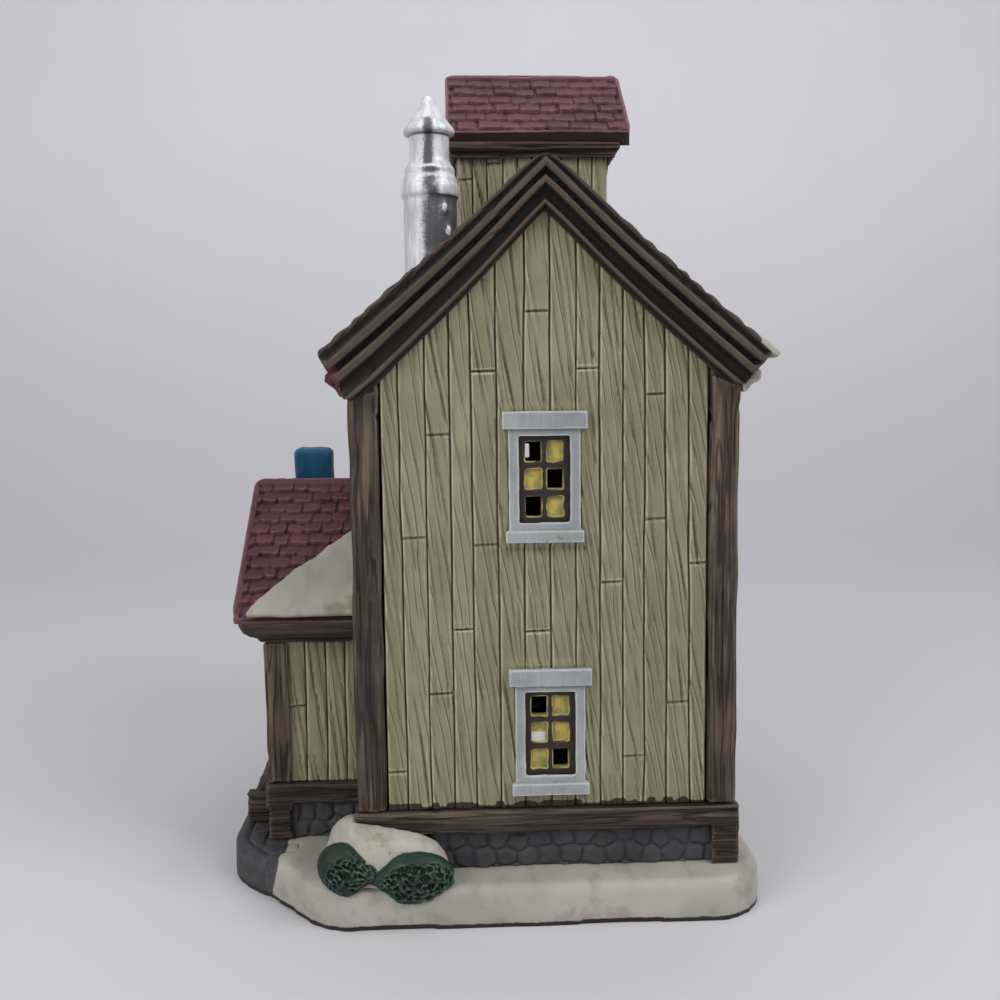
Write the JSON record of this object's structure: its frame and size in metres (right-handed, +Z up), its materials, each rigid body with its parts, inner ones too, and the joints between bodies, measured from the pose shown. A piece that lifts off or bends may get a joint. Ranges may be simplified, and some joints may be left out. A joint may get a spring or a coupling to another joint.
{
  "type": "christmas village building",
  "caption": "Painted ceramic christmas village house with a low gabled wing, cupola, stovepipe and snowy plinth, lit by a removable clip-in lamp.",
  "frame": {"origin": "On the table, below the middle of the outer face of the near gable wall.", "axes": "+Z up, +Y from the near gable into the house along the roof ridge, +X towards the back wall that holds the lamp; the wing is on the -X side."},
  "size_m": [0.1185, 0.1196, 0.1858],
  "materials": {
    "olive_planks": "matte painted bisque, olive planks with dark grooves",
    "dark_brown_timber": "matte painted bisque, dark brown timber",
    "burgundy_shingles": "matte painted bisque, burgundy shingles",
    "slate_grey_stone": "matte painted bisque, slate grey stone",
    "warm_white_snow": "matte painted bisque, warm white snow",
    "pale_blue_trim": "matte painted bisque, pale blue white trim",
    "brown_sash": "matte painted bisque, dark brown with yellow panes",
    "dark_green_shrub": "satin painted bisque, dark green shrub",
    "silver_paint": "satin silver paint over bisque",
    "blue_paint": "matte painted bisque, blue",
    "white_plastic": "moulded off-white plastic",
    "spring_steel": "bent spring steel strip",
    "brass_cap": "rolled metal bulb cap",
    "clear_bulb_glass": "clear glass"
  },
  "bodies": {
    "house": {"back_eave_board": "dark_brown_timber", "back_roof_slope": "burgundy_shingles", "back_sill_beam": "dark_brown_timber", "back_wall": "olive_planks", "base_plinth": "warm_white_snow", "blue_chimney": "blue_paint", "cupola_moulding": "dark_brown_timber", "cupola_roof": "burgundy_shingles", "cupola_walls": "olive_planks", "door_frame": "pale_blue_trim", "door_leaf": "brown_sash", "far_gable_wall": "olive_planks", "far_left_post": "dark_brown_timber", "far_lower_window_frame": "pale_blue_trim", "far_lower_window_sash": "brown_sash", "far_rake": "dark_brown_timber", "far_right_post": "dark_brown_timber", "far_sill_beam": "dark_brown_timber", "far_upper_window_frame": "pale_blue_trim", "far_upper_window_sash": "brown_sash", "front_eave_board": "dark_brown_timber", "front_roof_slope": "burgundy_shingles", "front_sill_beam": "dark_brown_timber", "front_wall": "olive_planks", "left_shrub": "dark_green_shrub", "main_foundation": "slate_grey_stone", "near_gable_wall": "olive_planks", "near_left_post": "dark_brown_timber", "near_lower_window_frame": "pale_blue_trim", "near_lower_window_sash": "brown_sash", "near_rake": "dark_brown_timber", "near_right_post": "dark_brown_timber", "near_sill_beam": "dark_brown_timber", "near_upper_window_frame": "pale_blue_trim", "near_upper_window_sash": "brown_sash", "right_shrub": "dark_green_shrub", "roof_snow": "warm_white_snow", "slate_path": "slate_grey_stone", "snow_mound": "warm_white_snow", "step_cheek": "dark_brown_timber", "stone_steps": "slate_grey_stone", "stovepipe": "silver_paint", "stovepipe_cap": "silver_paint", "wing_far_fascia": "dark_brown_timber", "wing_far_post": "dark_brown_timber", "wing_far_roof": "burgundy_shingles", "wing_foundation": "slate_grey_stone", "wing_near_fascia": "dark_brown_timber", "wing_near_post": "dark_brown_timber", "wing_near_roof": "burgundy_shingles", "wing_rake": "dark_brown_timber", "wing_sill_beam": "dark_brown_timber", "wing_snow_drift": "warm_white_snow", "wing_walls": "olive_planks", "wing_window_frame": "pale_blue_trim", "wing_window_sash": "brown_sash"},
    "lamp": {"lamp_socket": "white_plastic", "lamp_clip": "spring_steel"},
    "bulb": {"bulb_glass": "clear_bulb_glass", "bulb_base": "brass_cap"}
  },
  "joints": [
    {"name": "lamp_slide", "type": "slide", "parent": "house", "child": "lamp", "axis": [1, 0, 0], "range_m": [0, 0.065]},
    {"name": "bulb_spin", "type": "hinge", "parent": "lamp", "child": "bulb", "pos_m": [0.02, 0.05, 0.04], "axis": [1, 0, 0], "continuous": true}
  ]
}
